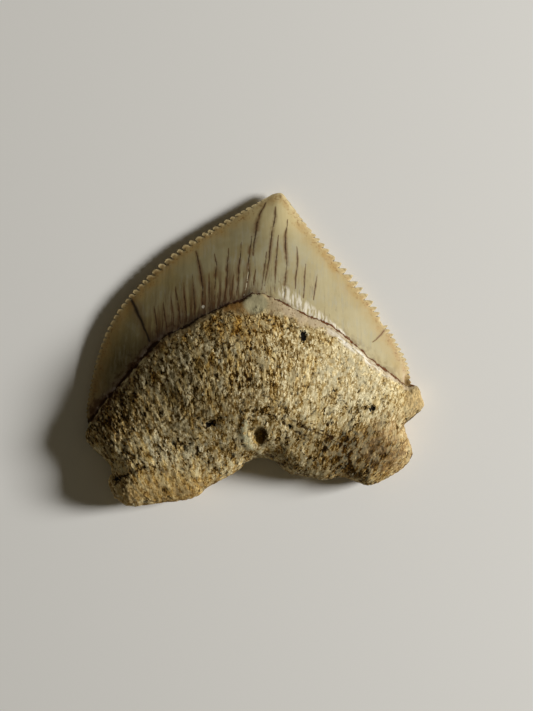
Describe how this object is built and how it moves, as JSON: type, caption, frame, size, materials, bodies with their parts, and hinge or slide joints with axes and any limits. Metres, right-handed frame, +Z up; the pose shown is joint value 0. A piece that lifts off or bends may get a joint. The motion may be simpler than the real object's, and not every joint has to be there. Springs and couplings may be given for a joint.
{
  "type": "fossil shark tooth",
  "caption": "Fossil crow shark tooth with a serrated triangular crown on a thick lobed porous root, lying flat on its outer face.",
  "frame": {"origin": "middle of the tooth's footprint, on the surface it lies on", "axes": "+X across the tooth towards its steeper cutting edge, +Y from the root lobes towards the apex, +Z up out of the lingual face"},
  "size_m": [0.028, 0.026, 0.0067],
  "materials": {
    "fossil_tooth": "smooth grey-cream enameloid crown with tan cutting edges and brown hairlines, on a matt porous ochre and cream root"
  },
  "bodies": {
    "root": {"tooth": "fossil_tooth"}
  },
  "joints": []
}
